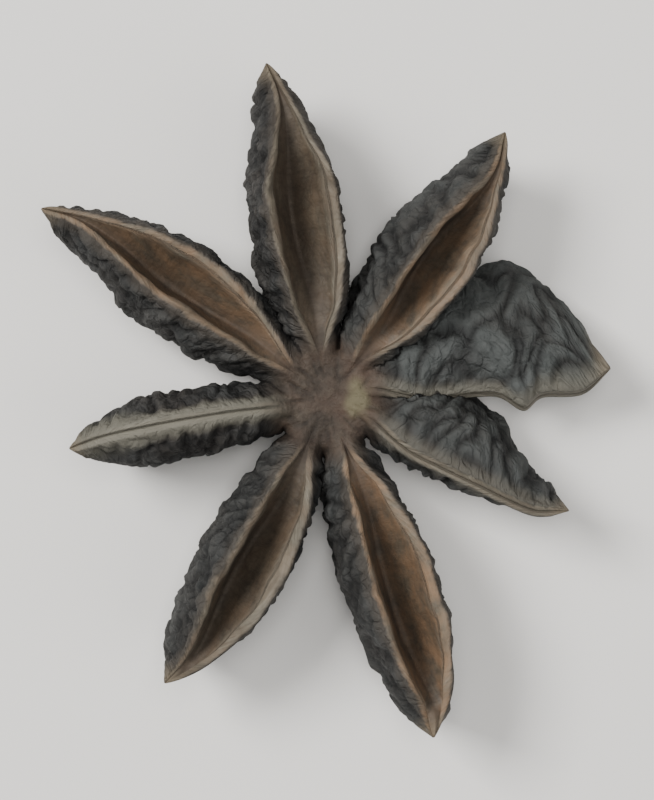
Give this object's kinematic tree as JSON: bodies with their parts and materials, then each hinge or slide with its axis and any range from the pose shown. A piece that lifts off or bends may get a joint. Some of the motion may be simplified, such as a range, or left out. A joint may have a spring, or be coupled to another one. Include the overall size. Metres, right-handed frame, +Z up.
{
  "type": "star anise pod",
  "caption": "Whole dried star-shaped spice fruit: boat-shaped carpels round a short column, some split open along the seam and some shut, lying on its keels with the seams up.",
  "frame": {"origin": "middle of the fruit's footprint, on the surface it lies on", "axes": "+Z up, out of the side where the seams open; +Y along the fruit's longest span; +X to the right of it, towards the two shut carpels that lie side by side"},
  "size_m": [0.0262, 0.0306, 0.0066],
  "materials": {
    "husk": "dried woody husk: matte dark grey-brown wrinkled outside, pale tan cut lips, smooth orange-brown lining in the open carpels"
  },
  "bodies": {
    "root": {"star_anise_pod": "husk"}
  },
  "joints": []
}
